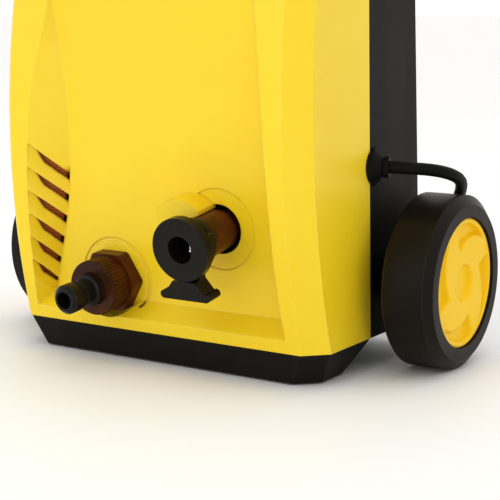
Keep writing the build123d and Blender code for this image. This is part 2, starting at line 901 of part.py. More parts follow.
def make_inlet_port():
    port = along(inlet_plane, port_tail_radius, inlet_tail, 0)
    port += along(inlet_plane, inlet_stem_radius, 0, inlet_nut_face - 4)
    flange = RegularPolygon(inlet_flange_radius, 6)
    flange = fillet(flange.vertices(), 3)
    port += inlet_plane * (Pos(0, 0, 0.2) * extrude(flange, inlet_nut_start - 0.2 - joint_gap))
    return port - along(inlet_plane, inlet_bore_radius, inlet_tail - 1, 40)


def make_union_nut():
    nut = along(inlet_plane, inlet_nut_radius - 0.6, inlet_nut_start, inlet_nut_face)
    for index in range(nut_ridge_count):
        ridge = Pos(inlet_nut_radius - 0.6, 0, (inlet_nut_start + inlet_nut_face) / 2)
        ridge = ridge * Box(1.1, 1.1, inlet_nut_face - inlet_nut_start - 2)
        nut += inlet_plane * (Rot(0, 0, index * 360 / nut_ridge_count) * ridge)
    nut -= along(inlet_plane, inlet_stem_radius + running_fit, 0, inlet_nut_face - 4 + joint_gap)
    return nut - along(inlet_plane, nipple_collar_radius + joint_gap, 0, 40)


def make_nipple():
    start = inlet_nut_face - 4
    neck = inlet_nut_face + 6
    ring = neck + nipple_neck_length
    groove = ring + 1.4
    nose = groove + 2.8
    points = (
        (inlet_bore_radius, start),
        (nipple_collar_radius, start),
        (nipple_collar_radius, neck - 1),
        (nipple_collar_radius - 1.6, neck),
        (nipple_neck_radius, neck),
        (nipple_neck_radius, ring),
        (nipple_neck_radius + 1.2, ring),
        (nipple_neck_radius + 1.2, groove),
        (nipple_neck_radius - 0.8, groove),
        (nipple_neck_radius - 0.8, nose),
        (nipple_nose_radius - 0.8, nose),
        (nipple_nose_radius, nose + 1),
        (nipple_nose_radius, nipple_end - 2.2),
        (nipple_nose_radius - 2.2, nipple_end),
        (inlet_bore_radius, nipple_end),
    )
    return spin(points, inlet_plane)


def make_inlet_filter():
    cup = along(inlet_plane, inlet_bore_radius - 0.02, -8, 10)
    cup -= along(inlet_plane, inlet_bore_radius - 1, -7, 11)
    for angle in (0, 60, 120):
        for height in (-4, 0, 4):
            cut = Pos(0, 0, height) * Box(20, 2.4, 2.2)
            cup -= inlet_plane * (Rot(0, 0, angle) * cut)
    return cup


nodes["outlet_socket"] = make_outlet_socket()
nodes["outlet_clip"] = make_outlet_clip()
outlet_seal_radius = outlet_bore_radius + seal_section + 0.05
nodes["outlet_seal"] = ring_seal(outlet_plane, outlet_seal_radius, seal_section, outlet_seal_z)
nodes["inlet_port"] = make_inlet_port()
nodes["inlet_union_nut"] = make_union_nut()
nodes["inlet_nipple"] = make_nipple()
nodes["inlet_filter"] = make_inlet_filter()
nipple_seal_z = inlet_nut_face + nipple_neck_length + 8.8
nipple_seal_radius = nipple_neck_radius - 0.8 + seal_section
nodes["nipple_seal"] = ring_seal(inlet_plane, nipple_seal_radius, seal_section - 0.02, nipple_seal_z)


# ---------------------------------------------------------------- pump
def drive(radius, bottom, top):
    return upright(radius, 0, drive_y, bottom, top)


def piston_places():
    places = []
    for index in range(piston_count):
        angle = math.radians(90 + index * 360 / piston_count)
        x = piston_pitch_radius * math.cos(angle)
        places.append((x, drive_y + piston_pitch_radius * math.sin(angle)))
    return places


def make_cylinder_head():
    head = block((head_left, head_right), (head_front, head_back), (head_bottom, head_top))
    head = fillet(head.edges().filter_by(Axis.Z), 5)
    head -= along(outlet_plane, port_tail_radius + 0.02, outlet_tail, 40)
    head -= along(inlet_plane, port_tail_radius + 0.02, inlet_tail, 40)
    head -= along(outlet_plane, outlet_channel_radius, outlet_tail - 14, outlet_tail + 1)
    head -= along(inlet_plane, inlet_bore_radius, inlet_tail - 14, inlet_tail + 1)
    for x in (head_left + 12, -18, 14):
        head -= block((x - 1.5, x + 1.5), (head_front - 1, head_front + 4), (head_top - 24, head_top + 1))
    return head


def make_cylinder_block():
    body = drive(block_radius, head_top, block_top)
    for x, y in piston_places():
        body -= upright(piston_radius + running_fit, x, y, piston_bottom - 4, block_top + 1)
    return body


def make_pistons():
    pistons = []
    for x, y in piston_places():
        piston = upright(piston_radius, x, y, piston_bottom, piston_top)
        head_bottom_z = piston_top - piston_head_height
        pistons.append(piston + upright(piston_head_radius, x, y, head_bottom_z, piston_top))
    return pistons


def make_piston_springs():
    low = block_top + spring_wire_radius + 0.05
    high = piston_top - piston_head_height - spring_wire_radius - 0.05
    radius = piston_radius + spring_wire_radius + 0.6
    springs = []
    for x, y in piston_places():
        path = Helix(pitch=(high - low) / spring_turns, height=high - low, radius=radius)
        section = Plane(origin=path @ 0, z_dir=path % 0) * Circle(spring_wire_radius)
        springs.append(Pos(x, y, low) * sweep(section, path=path, is_frenet=True))
    return springs


def make_swash_plate():
    disc = Rot(swash_angle, 0, 0) * Cylinder(swash_radius, swash_thickness)
    hub = Cylinder(11, 16)
    plate = Pos(0, drive_y, swash_z) * (disc + Pos(0, 0, 4) * hub)
    return plate - drive(shaft_radius, 0, 400)


def make_pump_housing():
    tube = drive(block_radius, block_top, pump_top) - drive(block_radius - pump_wall, 0, 400)
    for angle in range(0, 360, 30):
        fin = Pos(block_radius + 0.6, 0) * Rectangle(2.4, 2.4)
        fin = Pos(0, drive_y, block_top + 4) * (Rot(0, 0, angle) * extrude(fin, pump_top - block_top - 8))
        tube += fin
    return tube


def make_valve_plugs():
    """Hexagon plugs in the underside of the head, over the delivery valves."""
    plugs = []
    for x in (-20, 4, 28):
        plug = Pos(x, 4, head_bottom - 5) * extrude(RegularPolygon(7, 6), 5)
        plugs.append(plug)
    return plugs


def make_unloader():
    y = -6.0
    z = 74.0
    valve = rod(10.5, (head_left, y, z), (head_left - 20, y, z))
    valve += rod(7, (head_left - 20, y, z), (head_left - 27, y, z))
    return valve


def make_pressure_switch():
    y = -6.0
    bottom = 74.0 + 10.5
    box = block((head_left - 20, head_left - 1), (y - 6, y + 6), (bottom, bottom + 16))
    for x in (head_left - 16, head_left - 8):
        box += block((x - 0.4, x + 0.4), (y - 3, y + 3), (bottom + 16, bottom + 22))
    return box


def make_pump_mounts():
    return [upright(mount_radius, side * mount_x, mount_y, plinth_top, head_bottom) for side in (-1, 1)]


nodes["cylinder_head"] = make_cylinder_head()
nodes["cylinder_block"] = make_cylinder_block()
nodes["pistons"] = make_pistons()
nodes["piston_springs"] = make_piston_springs()
nodes["swash_plate"] = make_swash_plate()
nodes["pump_housing"] = make_pump_housing()
nodes["valve_plugs"] = make_valve_plugs()
nodes["unloader_valve"] = make_unloader()
nodes["pressure_switch"] = make_pressure_switch()
nodes["pump_mounts"] = make_pump_mounts()


# ---------------------------------------------------------------- motor
def make_lower_bracket():
    bracket = drive(bracket_radius, pump_top, pump_top + bracket_plate)
    ring = drive(bracket_radius, pump_top, stator_bottom)
    bracket += ring - drive(bracket_radius - 5, pump_top, stator_bottom)
    bracket += drive(bearing_radius + 3, pump_top, pump_top + bearing_height + 2)
    bracket -= drive(bearing_radius, pump_top + 2, pump_top + bearing_height + 2)
    return bracket - drive(shaft_radius + 1, 0, 400)


def make_upper_bracket():
    rim = drive(bracket_radius, stator_top, upper_plate_z) - drive(bracket_radius - 5, 0, upper_plate_z - 5)
    bearing_top = upper_plate_z + 2
    bearing_low = bearing_top - bearing_height
    rim += drive(bearing_radius + 3, bearing_low - 2, bearing_top)
    rim -= drive(bearing_radius, bearing_low, bearing_top + 1)
    rim -= drive(journal_radius + 1, 0, 400)
    for angle in range(30, 360, 60):
        window = Rot(0, 0, angle) * (Pos(28, 0) * RectangleRounded(14, 16, 3))
        rim -= Pos(0, drive_y, upper_plate_z - 8) * extrude(window, 12)
    for angle in range(45, 360, 90):
        window = Rot(0, 0, angle) * (Pos(bracket_radius, 0) * Rectangle(20, 16))
        rim -= Pos(0, drive_y, stator_top + 4) * extrude(window, 10)
    return rim


def bearing_at(journal, bottom):
    ring = drive(bearing_radius, bottom, bottom + bearing_height)
    ring -= drive(journal + running_fit, bottom - 1, bottom + bearing_height + 1)
    middle = (journal + bearing_radius) / 2
    for level in (bottom, bottom + bearing_height - 0.8):
        groove = drive(middle + 1.4, level, level + 0.8) - drive(middle - 1.4, level - 1, level + 2)
        ring -= groove
    return ring


def make_stator():
    ring = drive(stator_radius, stator_bottom, stator_top) - drive(stator_bore_radius, 0, 400)
    for side in (-1, 1):
        pocket = Pos(side * (stator_bore_radius + 5), drive_y) * Rectangle(16, 34)
        ring -= Pos(0, 0, stator_bottom - 1) * extrude(pocket, stator_top - stator_bottom + 2)
    return ring


def make_field_windings():
    """The two end turns of each field coil, above and below the stator."""
    band = Circle(36) - Circle(stator_bore_radius + 1.5)
    coils = []
    for side in (-1, 1):
        half = band & Pos(0, side * 24) * Rectangle(60, 30)
        for low in (stator_bottom - 8, stator_top):
            coil = Pos(0, drive_y, low) * extrude(half, 8)
            coils.append(coil)
    return coils


def make_rotor():
    shaft = drive(shaft_radius, swash_z - 9, upper_plate_z - 9)
    shaft += drive(journal_radius, upper_plate_z - 9, shaft_top)
    radius = stator_bore_radius - air_gap
    core = drive(radius, stator_bottom + 2, stator_top - 2)
    for index in range(12):
        slot = Rot(0, 0, index * 30) * (Pos(radius, 0) * Rectangle(6, 2.2))
        core -= Pos(0, drive_y, stator_bottom) * extrude(slot, stator_top - stator_bottom)
    return shaft + core


def make_armature_windings():
    rings = []
    for low in (stator_bottom - 5, stator_top - 2):
        ring = drive(20, low, low + 5) - drive(shaft_radius, 0, 400)
        rings.append(ring)
    rings[0] = Pos(0, 0, 2) * rings[0]
    return rings


def make_commutator():
    ring = drive(commutator_radius, commutator_bottom, commutator_top - 4)
    for index in range(24):
        slit = Rot(0, 0, index * 15) * (Pos(commutator_radius, 0) * Rectangle(2, 0.5))
        ring -= Pos(0, drive_y, commutator_bottom - 1) * extrude(slit, 20)
    return ring - drive(shaft_radius, 0, 400)


def brush_box(side, radius_range, width, height):
    middle = (commutator_bottom + commutator_top - 4) / 2
    x_range = sorted((side * radius_range[0], side * radius_range[1]))
    y_range = (drive_y - width / 2, drive_y + width / 2)
    return block(x_range, y_range, (middle - height / 2, middle + height / 2))


def make_brush_holders():
    holders = []
    for side in (-1, 1):
        reach = (commutator_radius + 3, bracket_radius - 5.6)
        outer = brush_box(side, reach, brush_width + 3, brush_height + 1.6)
        holders.append(outer - brush_box(side, (0, bracket_radius - 9), brush_width, brush_height))
    return holders


def make_brushes():
    reach = (commutator_radius + joint_gap, commutator_radius + 16)
    return [brush_box(side, reach, brush_width - 0.1, brush_height - 0.1) for side in (-1, 1)]


def make_fan():
    hub_radius = 9
    fan = drive(hub_radius, fan_bottom, fan_top)
    fan += drive(fan_radius, fan_bottom, fan_bottom + 1.4)
    blade_low = fan_bottom + 0.7
    blade_high = fan_top - 0.6
    for index in range(fan_blades):
        blade = Box(fan_radius - hub_radius, 1.6, blade_high - blade_low)
        blade = Pos((hub_radius + fan_radius) / 2 - 1.5, 0, 0) * blade
        turn = Rot(0, 0, index * 360 / fan_blades)
        fan += Pos(0, drive_y, (blade_low + blade_high) / 2) * (turn * blade)
    return fan - drive(journal_radius, 0, 400)


def make_motor_pad():
    rib_front = drive_y + stator_radius + 4
    pad_z = (stator_bottom + 4, stator_bottom + 14)
    pad = block((-16, 16), (drive_y + stator_radius - 8, rib_front), pad_z)
    return pad - drive(stator_radius + 0.02, 0, 400)


def make_capacitor():
    x = -half_width(222) + wall + 16
    can = upright(13, x, 31, 222, 264)
    can = fillet(can.edges().group_by(Axis.Z)[-1], 2)
    for offset_x in (-4, 4):
        can += block((x + offset_x - 2.4, x + offset_x + 2.4), (30.6, 31.4), (264, 272))
    return can


def terminal_x():
    return half_width(150) - wall / 2 - 9


def make_terminal_block():
    body = block((terminal_x() - 6, terminal_x() + 6), (14, 40), (143, 155))
    for y in (18.5, 27, 35.5):
        body -= upright(2.6, terminal_x(), y, 149, 156)
        body += upright(2.0, terminal_x(), y, 149, 153)
    return body


nodes["lower_bracket"] = make_lower_bracket()
nodes["upper_bracket"] = make_upper_bracket()
nodes["lower_bearing"] = bearing_at(shaft_radius, pump_top + 2)
nodes["upper_bearing"] = bearing_at(journal_radius, upper_plate_z + 2 - bearing_height)
nodes["stator"] = make_stator()
nodes["field_windings"] = make_field_windings()
nodes["rotor"] = make_rotor()
nodes["armature_windings"] = make_armature_windings()
nodes["commutator"] = make_commutator()
nodes["brush_holders"] = make_brush_holders()
nodes["carbon_brushes"] = make_brushes()
nodes["motor_fan"] = make_fan()
nodes["motor_pad"] = make_motor_pad()
nodes["capacitor"] = make_capacitor()
nodes["terminal_block"] = make_terminal_block()


# ---------------------------------------------------------------- gland, cord and plug
def gland_axis():
    heading = math.radians(gland_heading)
    return Vector(math.cos(heading), math.sin(heading), 0)


gland_base = Vector(half_width(gland_z), gland_y, gland_z)
gland_tip = gland_base + gland_axis() * gland_length


def make_gland():
    plane = Plane(origin=gland_base, x_dir=(0, 0, 1), z_dir=gland_axis())
    profile = Spline(
        (gland_base_radius, 0),
        (gland_base_radius * 0.74, gland_length * 0.34),
        (gland_tip_radius, gland_length - 3),
    )
    points = ((gland_tip_radius, gland_length - 3), (gland_tip_radius + 0.9, gland_length - 3),
              (gland_tip_radius + 0.9, gland_length), (0, gland_length), (0, -9), (gland_base_radius, -9),
              (gland_base_radius, 0))
    cone = plane * revolve(Plane.XZ * make_face(profile + Polyline(*points)), Axis.Z)
    cone -= housing_skin
    inner_wall = half_width(gland_z) - wall - 0.4
    neck = gland_neck(0.0) & block((inner_wall - 0.5, half_width(gland_z) + 1), (-50, 50), (0, 300))
    flange = rod(gland_flange_radius, (inner_wall - gland_flange_thickness, gland_y, gland_z),
                 (inner_wall, gland_y, gland_z))
    return cone + neck + flange


# Route of the mains cord from the gland to the coil, in the seam frame
cord_route = [
    (gland_tip.X, gland_tip.Y, gland_tip.Z),
    (128.2, 12.6, 119.0),
    (138.3, 21.0, 117.9),
    (143.9, 32.6, 115.0),
    (144.9, 45.2, 110.4),
    (140.5, 57.1, 104.2),
    (132.9, 68.7, 95.2),
    (125.2, 79.5, 83.5),
    (119.8, 88.8, 69.5),
    (117.0, 94.6, 53.0),
    (114.8, 96.9, 36.0),
    (109.0, 98.2, 20.5),
    (97.0, 99.9, 9.5),
    (81.0, 102.1, 4.8),
    (61.0, 104.7, 4.8),
    (37.0, 107.4, 4.8),
    (5.0, 109.0, 4.8),
]


def route_radii(points):
    radii = []
    for before, here, after in zip(points, points[1:], points[2:]):
        run_in = Vector(*here) - Vector(*before)
        run_out = Vector(*after) - Vector(*here)
        turn = math.radians(run_in.get_angle(run_out))
        radii.append(0.45 * min(run_in.length, run_out.length) / math.tan(turn / 2))
    return radii


def make_cord():
    radii = route_radii(cord_route)
    print("cord radii", [round(radius, 1) for radius in radii])
    path = FilletPolyline(*cord_route, radius=radii)
    section = Plane(origin=path @ 0, z_dir=path % 0) * Circle(cord_diameter / 2)
    cord = sweep(section, path=path)
    print("cord length", round(path.length, 1), "volume share",
          round(cord.volume / (path.length * math.pi * cord_diameter**2 / 4), 4))
    return cord


def coil_band():
    width = coil_columns * cord_diameter
    height = coil_rows * cord_diameter
    band = RectangleRounded(width, height, 3)
    return Pos(coil_mean_radius, coil_floor_gap + height / 2) * band


def make_coil():
    return Pos(*coil_centre, 0) * revolve(Plane.XZ * coil_band(), Axis.Z)


def make_tie():
    """A strap round the bundle, as a flat closed band."""
    thickness = coil_floor_gap - 0.1
    width = coil_columns * cord_diameter
    height = coil_rows * cord_diameter
    outer = RectangleRounded(width + 2 * coil_floor_gap, height + 2 * coil_floor_gap, 4)
    slack = 2 * coil_floor_gap - 2 * thickness
    inner = RectangleRounded(width + slack, height + slack, 3)
    loop = Pos(coil_mean_radius, coil_floor_gap + height / 2) * (outer - inner)
    band = extrude(Plane.XZ * loop, amount=tie_width / 2, both=True)
    band = Rot(0, 0, tie_angle) * band
    return Pos(*coil_centre, 0) * band - make_coil()


def plug_plane():
    """On the plug's axis where the cord leaves the coil, pointing to the plug's face."""
    angle = math.radians(plug_leave_angle)
    radius = coil_mean_radius + (coil_columns - 1) / 2 * cord_diameter
    length = plug_lead_in + plug_sleeve_length + plug_body_length
    tilt = math.radians(plug_tilt)
    heading = Vector(math.sin(angle), -math.cos(angle), 0)
    axis = heading * math.cos(tilt) - Vector(0, 0, math.sin(tilt))
    height = plug_radius * math.cos(tilt) + length * math.sin(tilt)
    across = Vector(radius * math.cos(angle), radius * math.sin(angle), height)
    origin = Vector(*coil_centre, 0) + across
    return Plane(origin=origin, x_dir=heading.cross(Vector(0, 0, 1)), z_dir=axis)


def make_plug_body():
    sleeve_end = plug_lead_in + plug_sleeve_length
    end = sleeve_end + plug_body_length
    points = (
        (0, plug_lead_in),
        (cord_diameter / 2 + 0.6, plug_lead_in),
        (cord_diameter / 2 + 2.2, sleeve_end - 6),
        (9, sleeve_end),
        (11, sleeve_end + 6),
        (13.5, sleeve_end + 16),
        (plug_radius - 1.2, end - 14),
        (plug_radius, end - 10),
        (plug_radius, end),
        (0, end),
    )
    body = spin(points, plug_plane())
    for side in (-1, 1):
        grip = Pos(side * (plug_radius + 1), 0, end) * Box(6, 12, 16)
        body -= plug_plane() * grip
    return body


def make_plug_pins():
    end = plug_lead_in + plug_sleeve_length + plug_body_length
    pins = []
    for side in (-1, 1):
        pin = Pos(0, side * plug_pin_spacing / 2, end) * extrude(Circle(plug_pin_radius), plug_pin_length)
        pins.append(plug_plane() * pin)
    return pins


nodes["cable_gland"] = make_gland()
nodes["power_cord"] = make_cord()
nodes["cord_coil"] = make_coil()
nodes["cord_tie"] = make_tie()
nodes["plug_body"] = make_plug_body()
nodes["plug_pins"] = make_plug_pins()

# ---------------------------------------------------------------- written files
tilt = math.atan(panel_lean)
front_end = panel_y(inlet_z) - nipple_end * math.cos(tilt) - (nipple_nose_radius - 2.2) * math.sin(tilt)
back_end = axle_y + wheel_radius
centre_y = (front_end + back_end) / 2
print("moved along Y by", round(-centre_y, 3))

os.makedirs("parts", exist_ok=True)
for name, shape in nodes.items():
    solids = shape if isinstance(shape, list) else [shape]
    moved = [Pos(0, -centre_y, 0) * solid for solid in solids]
    whole = moved[0] if len(moved) == 1 else Compound(children=moved)
    export_step(whole, "parts/" + name + ".step")
print(len(nodes), "nodes written")
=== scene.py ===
import math

import bmesh
import bpy
from mathutils import Matrix, Vector


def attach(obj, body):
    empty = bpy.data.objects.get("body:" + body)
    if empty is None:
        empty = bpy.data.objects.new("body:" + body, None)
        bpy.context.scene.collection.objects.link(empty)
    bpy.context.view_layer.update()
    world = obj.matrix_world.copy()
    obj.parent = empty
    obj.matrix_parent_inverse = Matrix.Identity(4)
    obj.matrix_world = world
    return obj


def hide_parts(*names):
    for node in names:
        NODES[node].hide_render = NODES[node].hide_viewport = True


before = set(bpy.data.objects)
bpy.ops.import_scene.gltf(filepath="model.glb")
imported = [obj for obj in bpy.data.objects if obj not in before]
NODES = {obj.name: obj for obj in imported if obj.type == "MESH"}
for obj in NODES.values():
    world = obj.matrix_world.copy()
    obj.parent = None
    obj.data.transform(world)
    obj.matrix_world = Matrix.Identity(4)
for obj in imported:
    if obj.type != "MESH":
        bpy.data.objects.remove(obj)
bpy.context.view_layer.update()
SCENE = bpy.context.scene
MM = 0.001


def in_scene(piece):
    SCENE.collection.objects.link(piece)
    return piece


# ---------------------------------------------------------------- camera
camera_data = bpy.data.cameras.new("camera")
camera_data.lens = 99.0
camera_data.sensor_width = 36.0
camera = in_scene(bpy.data.objects.new("camera", camera_data))
camera.location = (0.4759, -0.6881, 0.2070)
camera.rotation_euler = (math.radians(80.2), 0, math.radians(32.8))
SCENE.camera = camera

# ---------------------------------------------------------------- mains lead
# The route from the gland to the coil is in millimetres.
LEAD_ROUTE = [
    (116.67, 17.80, 119.3), (128.2, 21.38, 119.0), (138.3, 29.79, 117.9),
    (143.9, 41.38, 115.0), (144.9, 53.98, 110.4), (140.5, 65.89, 104.2),
    (132.9, 77.48, 95.2), (125.2, 88.28, 83.5), (119.8, 97.58, 69.5),
    (117.0, 103.39, 53.0), (114.8, 105.69, 36.0), (109.0, 106.98, 20.5),
    (97.0, 108.69, 9.5), (81.0, 110.89, 4.8), (61.0, 113.48, 4.8),
    (37.0, 116.19, 4.8), (5.0, 117.78, 4.8),
]
LEAD_DIAMETER = 7.2
COIL_CENTRE = (-12.0, 174.776)
COIL_RADIUS = 46.0
COIL_FLOOR = 4.8
COIL_ROWS = 4
COIL_COLUMNS = 4
COIL_END = 15 * 360 + 45
CROSSING_AT = 200.0
CROSSING_WIDTH = 80.0
CROSSING_BULGE = 3.4
POINTS_PER_TURN = 16
SPLINE_INSET = 0.75 + 0.25 * math.cos(2 * math.pi / POINTS_PER_TURN)
PLUG_TILT = math.radians(6.0)
PLUG_AXIS = Vector((
    -math.sqrt(0.5) * math.cos(PLUG_TILT),
    math.sqrt(0.5) * math.cos(PLUG_TILT),
    -math.sin(PLUG_TILT),
))


def smooth(share):
    share = min(1.0, max(0.0, share))
    return share * share * (3 - 2 * share)


def coil_place(slot):
    """Radius and height of one of the places in the winding, row by row."""
    row, column = divmod(slot, COIL_COLUMNS)
    step = column if row % 2 == 0 else COIL_COLUMNS - 1 - column
    radius = COIL_RADIUS + ((COIL_COLUMNS - 1) / 2 - step) * LEAD_DIAMETER
    return radius, COIL_FLOOR + row * LEAD_DIAMETER


def coil_point(travel):
    slot, share = 0, 0.0
    for crossing in range(COIL_ROWS * COIL_COLUMNS - 1):
        middle = CROSSING_AT + 360 * crossing
        done = smooth((travel - middle) / CROSSING_WIDTH + 0.5)
        if done >= 1:
            slot = crossing + 1
        elif done > 0:
            share = done
    radius, height = coil_place(slot)
    if share:
        next_radius, next_height = coil_place(slot + 1)
        if next_radius == radius:
            outward = 1 if radius > COIL_RADIUS else -1
            radius += outward * CROSSING_BULGE * 4 * share * (1 - share)
        radius += (next_radius - radius) * share if next_height == height else 0
        height += (next_height - height) * share
    angle = math.radians(-90 - travel)
    reach = radius / SPLINE_INSET
    return Vector((
        COIL_CENTRE[0] + reach * math.cos(angle),
        COIL_CENTRE[1] + reach * math.sin(angle),
        height,
    ))


lead_points = [Vector(point) for point in LEAD_ROUTE]
coil_steps = int(COIL_END / 360 * POINTS_PER_TURN)
for step in range(coil_steps + 1):
    lead_points.append(coil_point(COIL_END * step / coil_steps))
leaving = lead_points[-1].copy()
lead_points.append(leaving + PLUG_AXIS * 9)
lead_points.append(leaving + PLUG_AXIS * 18)

lead_curve = bpy.data.curves.new("mains_lead", "CURVE")
lead_curve.dimensions = "3D"
lead_curve.bevel_depth = 1.0
lead_curve.bevel_resolution = 6
lead_curve.use_fill_caps = True
lead_spline = lead_curve.splines.new("NURBS")
lead_spline.points.add(len(lead_points) - 1)
for knot, point in zip(lead_spline.points, lead_points):
    knot.co = (*(point * MM), 1.0)
    knot.radius = LEAD_DIAMETER / 2 * MM
lead_spline.order_u = 3
lead_spline.use_endpoint_u = True
lead_spline.resolution_u = 6
mains_lead = in_scene(bpy.data.objects.new("mains_lead", lead_curve))
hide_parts("power_cord", "cord_coil")
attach(mains_lead, "frame")


# ---------------------------------------------------------------- materials
class Shader:
    """A node tree with a few short ways of adding to it."""

    def __init__(self, name, material=None):
        if material is None:
            material = bpy.data.materials.new(name)
            material.use_nodes = True
            material.node_tree.nodes.new("ShaderNodeTexCoord")
        self.material = material
        self.nodes = material.node_tree.nodes
        self.links = material.node_tree.links
        self.surface = self.nodes["Principled BSDF"]
        self.where = next(node for node in self.nodes if node.type == "TEX_COORD").outputs["Object"]

    def link(self, source, target):
        self.links.new(source, target)

    def noise(self, scale, detail=2.0, distortion=0.0, stretch=None):
        node = self.nodes.new("ShaderNodeTexNoise")
        node.inputs["Scale"].default_value = scale
        node.inputs["Detail"].default_value = detail
        node.inputs["Distortion"].default_value = distortion
        source = self.where
        if stretch:
            mapping = self.nodes.new("ShaderNodeMapping")
            mapping.inputs["Scale"].default_value = stretch
            self.link(self.where, mapping.inputs["Vector"])
            source = mapping.outputs["Vector"]
        self.link(source, node.inputs["Vector"])
        return node.outputs["Fac"]

    def spread(self, value, low, high, from_low=0.35, from_high=0.65):
        node = self.nodes.new("ShaderNodeMapRange")
        limits = {"From Min": from_low, "From Max": from_high, "To Min": low, "To Max": high}
        for key, number in limits.items():
            node.inputs[key].default_value = number
        self.link(value, node.inputs["Value"])
        return node.outputs["Result"]

    def blend(self, share, first, second):
        node = self.nodes.new("ShaderNodeMix")
        node.data_type = "RGBA"
        for socket, value in ((node.inputs[6], first), (node.inputs[7], second)):
            if isinstance(value, tuple):
                socket.default_value = (*value, 1.0)
            else:
                self.link(value, socket)
        self.link(share, node.inputs[0])
        return node.outputs[2]

    def product(self, first, second):
        node = self.nodes.new("ShaderNodeMath")
        node.operation = "MULTIPLY"
        self.link(first, node.inputs[0])
        if isinstance(second, float):
            node.inputs[1].default_value = second
        else:
            self.link(second, node.inputs[1])
        return node.outputs[0]

    def total(self, first, second):
        node = self.nodes.new("ShaderNodeMath")
        node.operation = "ADD"
        self.link(first, node.inputs[0])
        self.link(second, node.inputs[1])
        return node.outputs[0]

    def ramp_along(self, axis, low, high):
        """0 to 1 between two places on one axis, in metres."""
        node = self.nodes.new("ShaderNodeSeparateXYZ")
        self.link(self.where, node.inputs[0])
        return self.spread(node.outputs[axis], 0.0, 1.0, low, high)

    def relief(self, height, distance, strength=1.0, over=None):
        node = self.nodes.new("ShaderNodeBump")
        node.inputs["Distance"].default_value = distance
        node.inputs["Strength"].default_value = strength
        self.link(height, node.inputs["Height"])
        if over is not None:
            self.link(over, node.inputs["Normal"])
        return node.outputs["Normal"]

    def edges(self, radius):
        """A softened normal, and a mask that is 1 on the edges."""
        soft = self.nodes.new("ShaderNodeBevel")
        soft.samples = 4
        soft.inputs["Radius"].default_value = radius
        plain = self.nodes.new("ShaderNodeNewGeometry").outputs["Normal"]
        dot = self.nodes.new("ShaderNodeVectorMath")
        dot.operation = "DOT_PRODUCT"
        self.link(soft.outputs["Normal"], dot.inputs[0])
        self.link(plain, dot.inputs[1])
        return soft.outputs["Normal"], self.spread(dot.outputs["Value"], 1.0, 0.0, 0.90, 0.999)


def moulded(name, colour, deeper, edge_highlight_and_wear, rough, grain, edge, specular=0.5, coat=0.0):
    """Injection-moulded plastic or rubber: clouded colour, fine grain, flow marks, and edges painted paler as a
    painted edge highlight together with rubbing wear.
    """
    made = Shader(name)
    clouds = made.spread(made.noise(9.0, 3.0, 0.6), 0.0, 1.0)
    flow = made.spread(made.noise(40.0, 4.0, 0.3, (1.0, 1.0, 0.25)), 0.0, 1.0)
    tone = made.blend(clouds, colour, deeper)
    soft, mask = made.edges(edge)
    # Paler patchy edges: a painted edge highlight, together with rubbing wear.
    edge_highlight_and_scuff = made.product(mask, made.spread(made.noise(260.0, 3.0), 0.1, 0.8))
    made.link(made.blend(edge_highlight_and_scuff, tone, edge_highlight_and_wear), made.surface.inputs["Base Color"])
    fine = made.noise(grain, 2.0)
    made.link(
        made.total(made.spread(flow, rough - 0.04, rough + 0.04, 0.0, 1.0), made.spread(fine, -0.03, 0.03)),
        made.surface.inputs["Roughness"],
    )
    wide = made.relief(made.noise(14.0, 2.0), 0.0006, 0.25, soft)
    made.link(made.relief(fine, 0.00006, 0.6, wide), made.surface.inputs["Normal"])
    made.surface.inputs["Specular IOR Level"].default_value = specular
    made.surface.inputs["Coat Weight"].default_value = coat
    made.surface.inputs["Coat Roughness"].default_value = 0.25
    return made.material


# Along Y, in metres, where the connector's painted reflection of the yellow housing begins and where it is full.
REFLECTION_PAINT_FROM_Y = -0.071
REFLECTION_PAINT_FULL_Y = -0.063


def connector(name, colour, deeper, edge_highlight_and_wear, painted_reflection, rough, grain, edge, specular):
    """Glossy black plastic, painted brown deep in the recess as if it reflected the housing."""
    made = Shader(name, moulded(name, colour, deeper, edge_highlight_and_wear, rough, grain, edge, specular))
    plain = made.surface.inputs["Base Color"].links[0].from_socket
    cloud = made.spread(made.noise(120.0, 2.0), 0.6, 1.0)
    depth = made.product(made.ramp_along("Y", REFLECTION_PAINT_FROM_Y, REFLECTION_PAINT_FULL_Y), cloud)
    made.link(made.blend(depth, plain, painted_reflection), made.surface.inputs["Base Color"])
    return made.material


def metallic(name, colour, deeper, rough, grain, stretch, edge, depth=0.00005):
    """Turned, drawn or cast metal: directional or cloudy finish, with a little tarnish."""
    made = Shader(name)
    made.surface.inputs["Metallic"].default_value = 1.0
    tarnish = made.spread(made.noise(30.0, 4.0, 0.5), 0.0, 1.0)
    marks = made.noise(grain, 3.0, 0.0, stretch)
    made.link(made.blend(tarnish, colour, deeper), made.surface.inputs["Base Color"])
    made.link(
        made.total(
            made.spread(marks, rough - 0.07, rough + 0.07),
            made.spread(tarnish, -0.03, 0.06, 0.0, 1.0),
        ),
        made.surface.inputs["Roughness"],
    )
    soft, _ = made.edges(edge)
    made.link(made.relief(marks, depth, 0.7, soft), made.surface.inputs["Normal"])
    return made.material


def wound(name, colour, deeper):
    """Enamelled wire: fine strands side by side."""
    made = Shader(name)
    made.surface.inputs["Metallic"].default_value = 0.8
    wave = made.nodes.new("ShaderNodeTexWave")
    wave.inputs["Scale"].default_value = 420.0
    wave.inputs["Distortion"].default_value = 1.2
    wave.inputs["Detail Scale"].default_value = 3.0
    made.link(made.where, wave.inputs["Vector"])
    strand = wave.outputs["Fac"]
    made.link(made.blend(strand, deeper, colour), made.surface.inputs["Base Color"])
    made.link(made.spread(made.noise(300.0), 0.25, 0.45), made.surface.inputs["Roughness"])
    made.link(made.relief(strand, 0.0003, 0.8), made.surface.inputs["Normal"])
    return made.material
